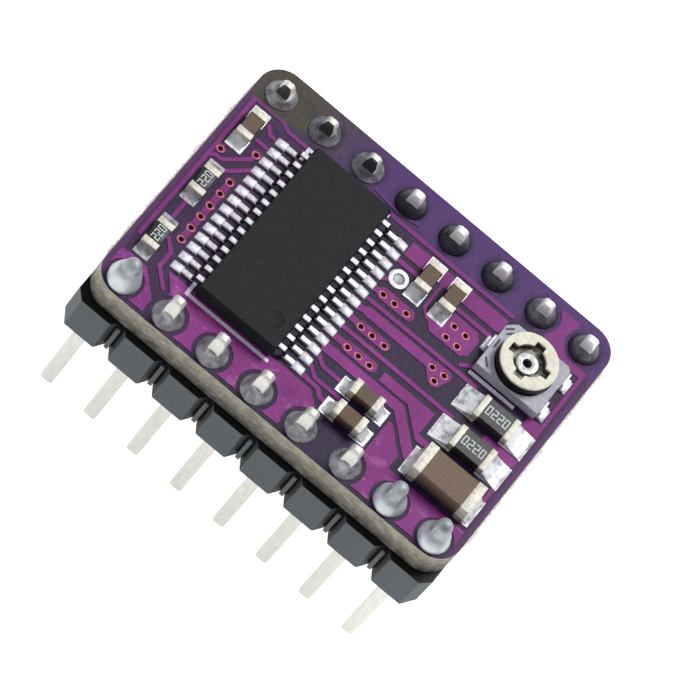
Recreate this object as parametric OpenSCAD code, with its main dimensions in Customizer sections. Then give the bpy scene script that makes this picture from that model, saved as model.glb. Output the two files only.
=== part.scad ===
// Stepper driver module: a small circuit board on two square-pin header rows.
// The board carries a 28-lead driver chip, chip capacitors and resistors, two
// sense resistors, one large capacitor and a turnable current trimmer.
// Frame: +X along the header rows, +Y towards the rear row, +Z up from the
// board. The origin is the middle of the footprint, level with the pin tips.
// All sizes are millimetres.

/* [Header rows] */
// Pins in each row
pin_count = 8; // [4:1:16]
// Distance between neighbouring pins of a row
pin_pitch = 2.54; // [2.4:0.01:3.2]
// Distance between the two rows, pin centre to pin centre
row_gap = 12.7; // [12:0.01:16]
// How far the pair of rows sits forward of the board's middle
row_shift = 0.25; // [0:0.05:0.4]
// Side of the square pin
pin_w = 0.64; // [0.4:0.01:0.8]
// Side of a pin's flat end after its taper
pin_tip_w = 0.36; // [0.2:0.01:0.5]
// Length of a pin's taper
pin_taper = 0.35; // [0.2:0.05:0.6]
// Pin length below the plastic strip
pin_below = 6.8; // [3:0.1:10]
// Front pins above the board
pin_above_front = 1.75; // [1:0.05:3]
// Rear pins above the board, pushed in less far
pin_above_rear = 1.15; // [1:0.05:3]
// Width of the plastic strip across the row
strip_w = 2.54; // [2.2:0.01:3.2]
// Height of the plastic strip
strip_h = 2.54; // [2:0.01:3.2]
// Length of the bevel between a strip segment's face and its end
strip_bevel = 0.46; // [0.2:0.01:0.6]
// Depth of the groove that parts two strip segments
strip_groove = 0.5; // [0.2:0.01:0.7]
// Thickness of the thin break web in the groove
strip_web = 0.22; // [0.08:0.01:0.3]

/* [Board] */
// Thickness of the bare laminate
board_t = 1.5; // [0.8:0.1:2.4]
// Board past the end of the header strip at each end
end_margin = 0; // [0:0.1:3]
// Board edge to row centre, with the rows in the board's middle
row_margin = 1.15; // [1:0.05:3]
// Corner radius of the board
corner_r = 1.3; // [0.5:0.1:2]
// Thickness of the copper on each side
copper_t = 0.035; // [0.018:0.001:0.07]
// Thickness of the coloured solder mask, more than the copper it buries
mask_t = 0.04; // [0.04:0.005:0.07]
// Bare laminate left around the mask at the cut edge
mask_inset = 0.03; // [0.02:0.01:0.3]
// Thickness of the printed outline ink
ink_t = 0.02; // [0.01:0.005:0.04]
// Gap between a pin's corner and its plated bore
bore_clear = 0.05; // [0.03:0.01:0.15]
// Wall of the copper plating in a hole
plating = 0.05; // [0.02:0.01:0.08]
// Diameter of the copper pad around a pin
joint_pad_d = 1.56; // [1.4:0.02:2]
// Drilled diameter of a small via
via_d = 0.3; // [0.2:0.02:0.5]
// Width of the copper ring around a via
via_ring = 0.11; // [0.08:0.01:0.2]

/* [Driver chip] */
// Length of the chip's moulding along the leads
chip_l = 9.7; // [9:0.1:12]
// Width of the chip's moulding
chip_w = 4.4; // [4:0.1:5]
// Thickness of the chip's moulding
chip_h = 0.93; // [0.7:0.01:1.4]
// Leads on each side
lead_count = 14; // [8:1:14]
// Distance between neighbouring leads
lead_pitch = 0.65; // [0.6:0.01:0.8]
// Width of a lead
lead_w = 0.26; // [0.18:0.01:0.34]
// Thickness of a lead
lead_t = 0.14; // [0.1:0.01:0.2]
// How far a lead reaches out from the moulding
lead_reach = 1.02; // [0.9:0.01:1.2]
// Length of the flat foot of a lead
foot_l = 0.52; // [0.4:0.01:0.7]
// Length of the solder pad under a foot
lead_pad_l = 1.05; // [0.8:0.01:1.3]
// Width of the solder pad under a foot
lead_pad_w = 0.42; // [0.3:0.01:0.5]
// Side of the silicon die
die_side = 2.6; // [1.5:0.1:3]
// Thickness of the silicon die
die_t = 0.25; // [0.15:0.01:0.4]
// Thickness of the heat-spreading paddle
paddle_t = 0.2; // [0.12:0.01:0.3]

/* [Chip parts] */
// Length of a small capacitor or resistor
chip_part_l = 1.6; // [1.4:0.05:2]
// Width of a small capacitor or resistor
chip_part_w = 0.82; // [0.7:0.02:1]
// Height of a small capacitor
small_cap_h = 0.66; // [0.5:0.02:0.9]
// Height of a small resistor
small_res_h = 0.4; // [0.3:0.02:0.6]
// Length of a sense resistor
sense_l = 2; // [1.8:0.05:2.4]
// Width of a sense resistor
sense_w = 1.25; // [1:0.05:1.4]
// Height of a sense resistor
sense_h = 0.5; // [0.3:0.02:0.7]
// Length of the large capacitor
bulk_l = 3.25; // [3:0.05:3.6]
// Width of the large capacitor
bulk_w = 1.65; // [1.4:0.05:1.8]
// Height of the large capacitor
bulk_h = 1.05; // [0.8:0.05:1.4]

/* [Trimmer] */
// Diameter of the turning disc
rotor_d = 2.84; // [2.2:0.02:3.6]
// Thickness of the turning disc
rotor_t = 0.62; // [0.4:0.02:0.9]
// Height of the trimmer's base
base_h = 0.6; // [0.4:0.02:0.9]
// Base past the disc's well at the two terminal ends
base_end = 0.34; // [0.2:0.02:0.6]
// Base past the disc's well at the two plain sides
base_side = 0.06; // [0.04:0.02:0.5]
// Diameter of the rivet's shank that the disc turns on
rivet_d = 0.76; // [0.6:0.02:1]
// Diameter of the hole through the rivet
rivet_hole_d = 0.42; // [0.3:0.02:0.5]
// Width of the driver's cross slot
slot_w = 0.48; // [0.3:0.02:0.7]
// Running gap between the disc's parts and the fixed parts
turn_gap = 0.03; // [0.02:0.01:0.1]

/* [Hidden] */

// Overlap that makes a cut pass clean through a face
cut = 0.1;
// Facets of a flat pattern's small arcs
art_fn = 20;

// Board outline and its place in the frame; a longer chip spreads the rows
chip_room = 0.4;
row_span = max(row_gap, chip_l + joint_pad_d + 2 * chip_room);
strip_l = pin_count * pin_pitch;
board_w = strip_l + 2 * end_margin;
board_d = row_span + 2 * row_margin;
front_reach = max(board_d / 2, row_span / 2 + row_shift + strip_w / 2);
rear_reach = max(board_d / 2, row_span / 2 - row_shift + strip_w / 2);
board_y = (front_reach - rear_reach) / 2;
left = -board_w / 2;
right = board_w / 2;
row_front_y = board_y - row_shift - row_span / 2;
row_rear_y = board_y - row_shift + row_span / 2;

// Heights, from the pin tips up
strip_z = pin_below;
skin_t = copper_t + mask_t;
board_z = strip_z + strip_h + skin_t;
top_z = board_z + board_t;
pad_z = top_z + copper_t;
solder_t = 0.045;
part_z = pad_z + solder_t;

// Plated holes
bore_d = pin_w * sqrt(2) + 2 * bore_clear;
drill_d = bore_d + 2 * plating;
via_plating = 0.035;
via_pad_d = via_d + 2 * via_ring;
mask_gap = 0.01;
ring_cover = 0.05;
joint_clear = 0.2;
ground_inset = 0.45;

// Places on the board, from its middle, its left end or its right end
chip_x = -3.95;
chip_y = -0.15;
left_x = left + 1.13;
left_cap_y = 3.55;
upper_res_y = -0.15;
lower_res_y = -3.87;
mid_caps_y = 3.41;
mid_cap_a_x = 1.43;
mid_cap_b_x = 2.84;
flat_caps_x = 2.65;
flat_cap_a_y = -3.52;
flat_cap_b_y = -4.9;
ring_x = 0.44;
ring_y = 2.58;
ring_d = 1.0;
right_x = right - 2.41;
sense_a_y = 0.02;
sense_b_y = -1.98;
bulk_y = -4.28;
trim_x = right - 2.91;
trim_y = 2.96;
pad_past_toe = 0.56;
chip_pad_x = chip_w / 2 + lead_reach + pad_past_toe - lead_pad_l / 2;
lead_span = (lead_count - 1) * lead_pitch;
chip_z = pad_z + 0.08;
lead_level = chip_z + 0.4;

// Sizes of the chip parts [length, width, height], of their pads [length, reach, width]
// and of their metal ends
small_cap = [chip_part_l, chip_part_w, small_cap_h];
small_res = [chip_part_l, chip_part_w, small_res_h];
sense = [sense_l, sense_w, sense_h];
bulk = [bulk_l, bulk_w, bulk_h];
cap_pads = [0.86, 0.5, chip_part_w + 0.08];
res_pads = [0.86, 0.5, chip_part_w];
sense_pads = [1.24, 0.98, sense_w + 0.15];
bulk_pads = [0.78, 0.36, bulk_w - 0.2];
end_cap_l = 0.34;
sense_end_l = 0.3;
bulk_end_l = 0.48;
end_wrap_t = 0.03;
coat_t = 0.03;
film_t = 0.015;
print_t = 0.012;

// Trimmer sizes that follow from its disc
well_d = rotor_d + 2 * turn_gap;
base_l = well_d + 2 * base_end;
base_w = well_d + 2 * base_side;
trim_z = pad_z + solder_t;
well_z = trim_z + 0.24;
base_top = trim_z + base_h;
wiper_t = 0.1;
wiper_z = base_top - wiper_t;
rotor_z = base_top + turn_gap;
rotor_bore_d = 1.62;
flange_d = 1.12;
flange_t = 0.1;
rivet_rise = 0.3;
rivet_top = rotor_z + rivet_rise;
term_w = 0.76;
term_t = 0.12;
term_gap = 1.9;
wiper_hub_d = rivet_d + 2 * turn_gap;
rotor_floor_t = 0.12;
rotor_hub_d = flange_d + 2 * turn_gap;
slot_reach = rotor_d / 2 - 0.34;

// Bars of the two digits in the generic value codes
two = [true, true, true, true, false, false, true];
zero = [true, false, true, true, true, true, true];

// Vias, each [x, y] from the board's middle
vias = concat(
    [[left + 2.16, 2.81], [left + 0.75, 1.87]],
    [for (step = [0, 1, 2.05, 3.0, 4.0, 5.0]) [left + 2.06, 0.8 - step * 0.78]],
    [for (x = [0.35, 1.0, 1.68]) [x, 1.48]],
    [for (x = [0.5, 1.14, 1.84]) [x, -0.57]],
    [for (x = [0.62, 1.24, 1.88]) [x, -1.85]],
    [for (x = [3.72, 4.37], y = [1.88, 2.6]) [x, y]],
    [[4.1, 0.2], [4.75, 0.25], [4.55, -0.3]]
);

// Lifts the children onto the board's upper face
module on_board() {
    translate([0, 0, top_z]) children();
}

// Moves the children to a place given from the board's middle
module at(x, y, z = 0) {
    translate([x, board_y + y, z]) children();
}

// Copies the children to every pin of one row
module along_row(row_y, z = 0) {
    for (i = [0 : pin_count - 1])
        translate([(i - (pin_count - 1) / 2) * pin_pitch, row_y, z]) children();
}

// Block centred in X and Y that stands on z = 0
module block(x, y, z) {
    translate([-x / 2, -y / 2, 0]) cube([x, y, z]);
}

// Plate with rounded vertical corners, centred in X and Y
module round_plate(x, y, z, r) {
    block(x, y - 2 * r, z);
    block(x - 2 * r, y, z);
    for (sx = [-1, 1], sy = [-1, 1])
        translate([sx * (x / 2 - r), sy * (y / 2 - r), 0]) cylinder(r = r, h = z, $fn = 48);
}

// Pin bores through the height z0 to z1
module pin_bores(d, z0, z1) {
    for (row_y = [row_front_y, row_rear_y])
        along_row(row_y, z0) cylinder(d = d, h = z1 - z0, $fn = 32);
}

// Via bores through the height z0 to z1
module via_bores(d, z0, z1) {
    for (v = vias)
        at(v[0], v[1], z0) cylinder(d = d, h = z1 - z0, $fn = 24);
}

// ---- Flat patterns of the board's upper face ----

// Rounded copper track through a list of points
module track(points, w) {
    for (p = points)
        translate(p) circle(d = w, $fn = art_fn);
    for (i = [0 : len(points) - 2]) {
        run = points[i + 1] - points[i];
        translate(points[i])
            rotate(atan2(run[1], run[0])) translate([0, -w / 2]) square([norm(run), w]);
    }
}

// Pads of one two-ended part that lies along X, each edge moved out by grow
module end_pads(size, pads, grow) {
    for (s = [-1, 1])
        translate([s * (size[0] / 2 + pads[1] - pads[0] / 2), 0])
            square([pads[0] + 2 * grow, pads[2] + 2 * grow], center = true);
}

// Places of the small parts that stand along Y, then of those that lie along X
module small_caps() {
    at(left_x, left_cap_y) rotate(90) children();
    at(mid_cap_a_x, mid_caps_y) rotate(90) children();
    at(mid_cap_b_x, mid_caps_y) rotate(90) children();
    at(flat_caps_x, flat_cap_a_y) children();
    at(flat_caps_x, flat_cap_b_y) children();
}

module small_resistors() {
    at(left_x, upper_res_y) rotate(90) children();
    at(left_x, lower_res_y) rotate(90) children();
}

module sense_places() {
    at(right_x, sense_a_y) rotate(180) children();
    at(right_x, sense_b_y) children();
}

// Places of the chip's leads on the side s, with +X pointing outwards
module lead_places(s) {
    for (i = [0 : lead_count - 1])
        at(chip_x, chip_y + i * lead_pitch - lead_span / 2) rotate(s > 0 ? 0 : 180) children();
}

// Every soldered pad of the parts, each edge moved out by grow
module part_pads(grow = 0) {
    small_caps() end_pads(small_cap, cap_pads, grow);
    small_resistors() end_pads(small_res, res_pads, grow);
    sense_places() end_pads(sense, sense_pads, grow);
    at(right_x, bulk_y) end_pads(bulk, bulk_pads, grow);
    for (s = [-1, 1])
        lead_places(s) translate([chip_pad_x, 0])
            square([lead_pad_l + 2 * grow, lead_pad_w + 2 * grow], center = true);
    at(ring_x, ring_y) circle(d = ring_d + 2 * grow, $fn = 32);
    trimmer_pads(grow);
}

// Pads under the trimmer's three terminals
module trimmer_pads(grow = 0) {
    at(trim_x, trim_y) {
        for (s = [-1, 1])
            translate([base_l / 2 + term_t / 2, s * term_gap / 2])
                square([0.7 + 2 * grow, term_w + 2 * grow], center = true);
        translate([-base_l / 2 - term_t / 2, 0])
            square([0.5 + 2 * grow, term_w + 2 * grow], center = true);
    }
}

// Copper areas, drawn from the board's middle
module pours() {
    // front areas between the soldered pins
    polygon([[left + 0.3, -5.35], [left + 1.7, -5.35], [left + 2.8, -6.5], [left + 2.8, -7.28],
        [left + 0.95, -7.28], [left + 0.3, -6.7]]);
    polygon([[-7.6, -4.78], [0.55, -4.78], [1.2, -5.35], [0.8, -5.95], [0.35, -7.28],
        [-6.95, -7.28], [-6.95, -5.6]]);
    polygon([[4.1, -3.45], [4.35, -3.45], [5.4, -4.55], [5.4, -5.35], [right - 0.35, -5.35],
        [right - 0.35, -6.8], [right - 0.95, -7.28], [4.6, -7.28], [4.1, -5.6]]);
    // supply area across the caps, and its return beside the trimmer
    translate([-0.1, 3.78]) square([trim_x - base_l / 2 + 0.1, 0.85]);
    polygon([[2.35, 2.2], [2.95, 1.53], [4.72, 1.53], [5.0, 1.85], [5.0, 2.8], [4.7, 3.12],
        [3.35, 3.12], [3.3, 2.4]]);
    // motor areas that run to the sense resistors
    polygon([[2.6, -1.62], [5.5, -1.62], [5.5, -2.95], [6.2, -3.0], [6.2, -3.3], [5.55, -3.35],
        [4.3, -2.17], [2.6, -2.17]]);
    polygon([[right - 3.1, 7.0], [right - 2.15, 7.0], [right - 1.85, 5.4], [right - 0.46, 5.1],
        [right - 0.46, 4.7], [right - 3.1, 4.7]]);
    translate([right - 1.35, 0.75]) square([0.9, 0.7]);
    translate([right - 2.35, -1.24]) square([1.9, 0.5]);
}

// Copper lines, drawn from the board's middle
module lines() {
    rim = left + 0.46;
    rim_right = right - 0.56;
    chip_left = chip_x - chip_pad_x - lead_pad_l / 2;
    chip_right = chip_x + chip_pad_x + lead_pad_l / 2;
    thin = 0.2;
    // left end
    track([[-6.3, 4.83], [-7.6, 4.83], [-8.05, 5.08], [rim, 5.08], [rim, -4.2]], thin);
    track([[left + 2.16, 2.81], [left + 2.11, 2.45], [left + 1.1, 1.43], [rim + 0.27, 1.43],
        [rim, 1.15]], thin);
    track([[chip_left, 2.0], [left + 1.56, 1.06]], thin);
    track([[chip_left, 4.06], [-8.1, 4.06], [left + 1.75, 4.4]], thin);
    track([[chip_left, 3.42], [left + 1.75, 3.42]], thin);
    track([[left_x, upper_res_y - 1.2], [left_x, lower_res_y + 1.2]], thin);
    track([[left + 1.5, -3.4], [left + 2.1, -4.0], [left + 2.1, -4.92], [-7.3, -5.68]], thin);
    track([[left + 2.06, 0.8], [left + 2.06, -3.1]], 0.34);
    // between the chip and the middle
    track([[-1.6, 4.98], [trim_x - base_l / 2, 4.98]], 0.24);
    track([[-2.9, 5.5], [-1.5, 5.3], [-0.4, 5.5]], 0.14);
    track([[chip_right, 3.38], [0.95, 3.38]], 0.24);
    track([[3.35, 3.38], [trim_x - base_l / 2, 3.38]], 0.24);
    track([[2.12, 3.8], [2.12, 2.35], [2.5, 1.97]], 0.15);
    track([[chip_right, 2.07], [0.25, 2.4]], thin);
    track([[chip_right, 1.42], [0.35, 1.48]], 0.32);
    track([[0.35, 1.48], [1.75, 1.48]], 0.66);
    track([[chip_right, 0.79], [6.1, 0.83], [6.35, 0.58]], 0.22);
    track([[chip_right, 0.12], [0.3, 0.25]], 0.36);
    track([[0.35, 0.25], [3.9, 0.25]], 0.54);
    track([[4.1, 0.2], [4.75, 0.25], [4.55, -0.3], [4.1, 0.2]], 0.66);
    track([[chip_right, -0.53], [0.48, -0.57]], 0.36);
    track([[0.48, -0.57], [1.84, -0.57]], 0.56);
    track([[chip_right, -1.18], [right_x - sense_l / 2 - 0.6, -1.18]], 0.22);
    track([[chip_right, -1.83], [0.62, -1.85]], 0.36);
    track([[0.62, -1.85], [1.95, -1.85]], 0.62);
    track([[chip_right + 0.1, -2.59], [4.1, -2.59], [5.75, -4.2]], 0.54);
    track([[chip_right, -3.13], [0.34, -3.47], [1.5, -3.47]], 0.22);
    track([[chip_right, -3.78], [0.36, -4.19], [1.9, -4.19]], thin);
    track([[chip_right, -4.46], [0.75, -4.5], [1.08, -4.8], [1.5, -4.82]], 0.25);
    // right end
    track([[rim_right, 5.0], [rim_right, 1.2]], thin);
    track([[rim_right, -2.6], [rim_right, -4.9]], thin);
    track([[5.0, 1.22], [trim_x - base_l / 2 + 0.1, 1.65]], thin);
}

// The whole upper copper pattern without its drilled holes
module copper_pattern() {
    difference() {
        translate([0, board_y]) pours();
        for (row_y = [row_front_y, row_rear_y])
            along_row(row_y) circle(d = joint_pad_d + 2 * joint_clear, $fn = 32);
        at(ring_x, ring_y) circle(d = ring_d + 2 * joint_clear, $fn = 32);
    }
    translate([0, board_y]) lines();
    for (row_y = [row_front_y, row_rear_y])
        along_row(row_y) circle(d = joint_pad_d, $fn = 32);
    for (v = vias)
        at(v[0], v[1]) circle(d = via_pad_d, $fn = art_fn);
    part_pads();
}

// ---- Board ----

// Plate of the solder mask's outline
module masked_plate(t) {
    round_plate(board_w - 2 * mask_inset, board_d - 2 * mask_inset, t, corner_r - mask_inset);
}

// Plate of the lower copper's outline
module ground_plate(t) {
    round_plate(board_w - 2 * ground_inset, board_d - 2 * ground_inset, t, corner_r - ground_inset);
}

module laminate() {
    color([0.66, 0.62, 0.5])
    difference() {
        translate([0, board_y, board_z]) round_plate(board_w, board_d, board_t, corner_r);
        pin_bores(drill_d, board_z - cut, top_z + cut);
        via_bores(via_d, board_z - cut, top_z + cut);
    }
}

module copper_top() {
    color([0.86, 0.5, 0.42])
    difference() {
        translate([0, 0, top_z]) linear_extrude(copper_t) copper_pattern();
        pin_bores(drill_d, top_z - cut, top_z + cut);
        via_bores(via_d, top_z - cut, top_z + cut);
    }
}

module copper_bottom() {
    color([0.86, 0.5, 0.42])
    difference() {
        translate([0, board_y, board_z - copper_t]) ground_plate(copper_t);
        pin_bores(drill_d, board_z - cut, board_z + cut);
        via_bores(via_d, board_z - cut, board_z + cut);
    }
}

module mask_top() {
    color([0.5, 0.22, 0.48])
    difference() {
        union() {
            translate([0, board_y, top_z]) masked_plate(mask_t);
            translate([0, 0, top_z]) linear_extrude(skin_t) copper_pattern();
        }
        translate([0, 0, top_z - cut]) linear_extrude(copper_t + cut) copper_pattern();
        translate([0, 0, top_z - cut]) linear_extrude(skin_t + 2 * cut) part_pads(mask_gap);
        pin_bores(joint_pad_d + 2 * mask_gap, top_z - cut, top_z + cut);
        via_bores(via_pad_d - 2 * ring_cover, top_z - cut, top_z + cut);
    }
}

module mask_bottom() {
    color([0.4, 0.18, 0.42])
    difference() {
        translate([0, board_y, board_z - skin_t]) masked_plate(skin_t);
        translate([0, board_y, board_z - copper_t]) ground_plate(copper_t + cut);
        pin_bores(drill_d, board_z - cut, board_z + cut);
        via_bores(via_d, board_z - cut, board_z + cut);
    }
}

module via_barrels() {
    color([0.8, 0.46, 0.4])
    difference() {
        via_bores(via_d, board_z - copper_t, pad_z);
        via_bores(via_d - 2 * via_plating, board_z - cut, top_z + cut);
    }
}

module hole_barrels() {
    color([0.86, 0.5, 0.42])
    difference() {
        pin_bores(drill_d, board_z - copper_t, pad_z);
        pin_bores(bore_d, board_z - cut, top_z + cut);
    }
}

// Printed outlines: a frame around the chip, a bar in front of the trimmer
module silk_lines() {
    ink_w = 0.18;
    out_x = chip_w / 2 + 0.12;
    out_y = chip_l / 2 + 0.02;
    hook = 0.8;
    at(chip_x, chip_y) {
        for (s = [-1, 1]) {
            translate([-out_x, s * (out_y + ink_w / 2) - ink_w / 2]) square([2 * out_x - 0.05, ink_w]);
            translate([-out_x - ink_w, s * (out_y + ink_w - hook / 2) - hook / 2])
                square([ink_w, hook]);
        }
    }
    at(trim_x - base_l / 2, trim_y - base_w / 2 - 0.28) square([2.6, ink_w]);
}

module silk_top() {
    color([0.76, 0.72, 0.82])
    difference() {
        translate([0, 0, top_z + mask_t]) linear_extrude(copper_t + ink_t) silk_lines();
        translate([0, 0, top_z]) linear_extrude(skin_t) copper_pattern();
        translate([0, 0, top_z - cut]) linear_extrude(skin_t + 2 * cut) part_pads(mask_gap);
    }
}

// ---- Header rows ----

// One segment of the strip: face bevels at its ends and cut lower corners
module strip_segment() {
    corner = 0.42;
    face = pin_pitch - 2 * strip_bevel;
    intersection() {
        linear_extrude(strip_h) polygon([
            [-pin_pitch / 2, -strip_w / 2 + strip_groove], [-face / 2, -strip_w / 2],
            [face / 2, -strip_w / 2], [pin_pitch / 2, -strip_w / 2 + strip_groove],
            [pin_pitch / 2, strip_w / 2 - strip_groove], [face / 2, strip_w / 2],
            [-face / 2, strip_w / 2], [-pin_pitch / 2, strip_w / 2 - strip_groove]]);
        rotate([90, 0, 0]) translate([0, 0, -strip_w / 2 - cut]) linear_extrude(strip_w + 2 * cut) polygon([
            [-pin_pitch / 2, corner], [-pin_pitch / 2 + corner, 0], [pin_pitch / 2 - corner, 0],
            [pin_pitch / 2, corner], [pin_pitch / 2, strip_h], [-pin_pitch / 2, strip_h]]);
    }
}

module strip(row_y) {
    web_inset = 0.14;
    web_foot = 0.42;
    difference() {
        union() {
            along_row(row_y, strip_z) strip_segment();
            for (i = [1 : pin_count - 1])
                translate([(i - pin_count / 2) * pin_pitch, row_y, strip_z + web_foot])
                    block(strip_web, strip_w - 2 * web_inset, strip_h - web_foot - web_inset);
        }
        along_row(row_y, strip_z - cut) block(pin_w, pin_w, strip_h + 2 * cut);
    }
}

module strip_front() {
    color([0.34, 0.37, 0.39]) strip(row_front_y);
}

module strip_rear() {
    color([0.34, 0.37, 0.39]) strip(row_rear_y);
}

// Square pin with a four-sided taper at both ends, standing on its tip
module pin(length) {
    side = sqrt(2);
    rotate(45) cylinder(d1 = pin_tip_w * side, d2 = pin_w * side, h = pin_taper, $fn = 4);
    translate([0, 0, pin_taper]) block(pin_w, pin_w, length - 2 * pin_taper);
    translate([0, 0, length - pin_taper])
        rotate(45) cylinder(d1 = pin_w * side, d2 = pin_tip_w * side, h = pin_taper, $fn = 4);
}

module pins_front() {
    color([0.85, 0.85, 0.82]) along_row(row_front_y) pin(top_z + pin_above_front);
}

module pins_rear() {
    color([0.85, 0.85, 0.82]) along_row(row_rear_y) pin(top_z + pin_above_rear);
}

// Solder of one pin: a plug in the bore and a hollow cone up the pin
module joint(cone_h, belly) {
    foot_r = joint_pad_d / 2;
    neck_r = pin_w * sqrt(2) / 2 + 0.02;
    rim_h = 0.05;
    steps = 7;
    plug = board_z - copper_t - pad_z;
    cone = [for (i = [0 : steps])
        let (t = i / steps, bulge = belly * sqrt(1 - t * t) + (1 - belly) * pow(1 - t, 2.4))
        [neck_r + (foot_r - neck_r) * bulge, rim_h + cone_h * t]];
    rotate_extrude($fn = 48) polygon(concat([[0, plug], [bore_d / 2, plug], [bore_d / 2, 0], [foot_r, 0]],
        cone, [[0, rim_h + cone_h]]));
}

module joint_row(row_y, heights, bellies, pin_above) {
    free_h = pin_above - pin_taper - copper_t;
    difference() {
        for (i = [0 : pin_count - 1])
            translate([(i - (pin_count - 1) / 2) * pin_pitch, row_y, pad_z])
                joint(heights[i % len(heights)] * free_h, bellies[i % len(bellies)]);
        along_row(row_y, board_z - cut) block(pin_w, pin_w, board_t + pin_above + 2 * cut);
    }
}

module solder_front() {
    color([0.72, 0.74, 0.75])
        joint_row(row_front_y, [0.9, 0.62, 0.55, 0.6, 0.58, 0.62, 0.94, 0.9],
            [0.75, 0.12, 0.2, 0.15, 0.18, 0.12, 0.8, 0.78], pin_above_front);
}

module solder_rear() {
    color([0.5, 0.51, 0.52])
        joint_row(row_rear_y, [0.9, 0.8, 0.86, 0.82, 0.88, 0.86, 0.84, 0.9],
            [0.55, 0.3, 0.35, 0.3, 0.3, 0.25, 0.45, 0.3], pin_above_rear);
}

// ---- Driver chip ----

// Moulding half: a block whose sides lean in towards its far face
module moulding_half(h, s) {
    draft = 0.09;
    hull() {
        block(chip_w, chip_l, 0.01);
        translate([0, 0, s * (h - 0.01)]) block(chip_w - 2 * draft, chip_l - 2 * draft, 0.01);
    }
}

module chip_body() {
    dimple_d = 0.9;
    dimple_depth = 0.03;
    seam = lead_level + lead_t / 2;
    color([0.14, 0.14, 0.15])
    difference() {
        union() {
            at(chip_x, chip_y, seam) moulding_half(chip_z + chip_h - seam, 1);
            at(chip_x, chip_y, seam) moulding_half(seam - chip_z, -1);
        }
        at(chip_x + chip_w / 2 - 0.9, chip_y - chip_l / 2 + 1.2, chip_z + chip_h - dimple_depth)
            cylinder(d = dimple_d, h = dimple_depth + cut, $fn = 32);
        at(chip_x, chip_y, chip_z - cut) block(die_side + 0.4, die_side + 2.4, paddle_t + cut);
        at(chip_x, chip_y, chip_z) block(die_side, die_side, paddle_t + die_t);
        for (s = [-1, 1])
            on_board() lead_places(s) lead();
    }
}

module chip_die() {
    color([0.45, 0.46, 0.5])
        at(chip_x, chip_y, chip_z + paddle_t) block(die_side, die_side, die_t);
}

module chip_paddle() {
    color([0.75, 0.74, 0.72])
        at(chip_x, chip_y, chip_z) block(die_side + 0.4, die_side + 2.4, paddle_t);
}

// Gull-wing lead: inner stub, shoulder, sloping leg and foot, +X outwards
module lead() {
    rise = lead_level - part_z;
    inner = chip_w / 2 - 0.4;
    shoulder = chip_w / 2 + lead_reach - foot_l - 0.16;
    heel = chip_w / 2 + lead_reach - foot_l;
    toe = chip_w / 2 + lead_reach;
    translate([0, lead_w / 2, part_z - top_z]) rotate([90, 0, 0]) linear_extrude(lead_w)
        polygon([[inner, rise], [shoulder - lead_t * 0.6, rise], [heel - lead_t * 0.6, 0], [toe, 0],
            [toe, lead_t], [heel, lead_t], [shoulder, rise + lead_t], [inner, rise + lead_t]]);
}

module chip_leads_left() {
    color([0.8, 0.8, 0.8]) on_board() lead_places(-1) lead();
}

module chip_leads_right() {
    color([0.8, 0.8, 0.8]) on_board() lead_places(1) lead();
}

// Solder of one lead: a pad-sized layer that rises towards the toe
module lead_solder() {
    toe = chip_w / 2 + lead_reach;
    out = chip_pad_x + lead_pad_l / 2;
    translate([chip_pad_x - lead_pad_l / 2, -lead_pad_w / 2, copper_t])
        cube([lead_pad_l, lead_pad_w, solder_t]);
    translate([0, lead_pad_w / 2, part_z - top_z]) rotate([90, 0, 0]) linear_extrude(lead_pad_w)
        polygon([[toe, 0], [out, 0], [out - 0.05, 0.02], [toe, lead_t * 0.75]]);
}

module chip_solder() {
    color([0.78, 0.79, 0.8])
    for (s = [-1, 1])
        on_board() lead_places(s) lead_solder();
}

// ---- Two-ended chip parts, each lying along X in its own place ----
// A part's size is [length, width, height], its pads are [length, reach past the part, width]

// Solder layer and outer fillets of one part, the fillets to a share of its height
module end_solder(size, pads, share) {
    rim = 0.02;
    lift = copper_t + solder_t;
    fillet_h = size[2] * share;
    for (s = [-1, 1])
        scale([s, 1, 1]) {
            translate([size[0] / 2 + pads[1] - pads[0], -pads[2] / 2, copper_t])
                cube([pads[0], pads[2], solder_t]);
            translate([size[0] / 2, 0, lift])
                hull() {
                    translate([0, -pads[2] / 2, 0]) cube([pads[1] - rim, pads[2], rim]);
                    translate([0, -size[1] / 2 + rim, 0])
                        cube([pads[1] / 3, size[1] - 2 * rim, fillet_h / 2]);
                    translate([0, -size[1] / 2 + 2 * rim, 0]) cube([rim, size[1] - 4 * rim, fillet_h]);
                }
        }
}

// Body inside the metal ends
module part_core(size) {
    translate([0, 0, part_z - top_z + end_wrap_t])
        block(size[0] - 2 * end_wrap_t, size[1] - 2 * end_wrap_t, size[2] - 2 * end_wrap_t);
}

// Metal ends: caps that stand slightly proud around the body
module metal_ends(size, end_l) {
    difference() {
        for (s = [-1, 1])
            scale([s, 1, 1])
                translate([size[0] / 2 - end_l, -size[1] / 2, part_z - top_z])
                    cube([end_l, size[1], size[2]]);
        part_core(size);
    }
}

// Layer number n on a resistor's upper face: film, glass coat, then print
function layer_z(size, n) = part_z - top_z + size[2] - end_wrap_t + [0, film_t, film_t + coat_t][n];

module resistor_layer(size, end_l, n) {
    translate([0, 0, layer_z(size, n)])
        block(size[0] - 2 * end_l, size[1] - 2 * end_wrap_t, [film_t, coat_t][n]);
}

module cap_bodies() {
    color([0.5, 0.44, 0.38]) on_board() small_caps() part_core(small_cap);
}

module cap_ends() {
    color([0.78, 0.77, 0.73]) on_board() small_caps() metal_ends(small_cap, end_cap_l);
}

module cap_solder() {
    color([0.72, 0.74, 0.76]) on_board() small_caps() end_solder(small_cap, cap_pads, 0.5);
}

module resistor_bodies() {
    color([0.2, 0.19, 0.18]) on_board() small_resistors() part_core(small_res);
}

module resistor_films() {
    color([0.1, 0.1, 0.1]) on_board() small_resistors() resistor_layer(small_res, end_cap_l, 0);
}

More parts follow.
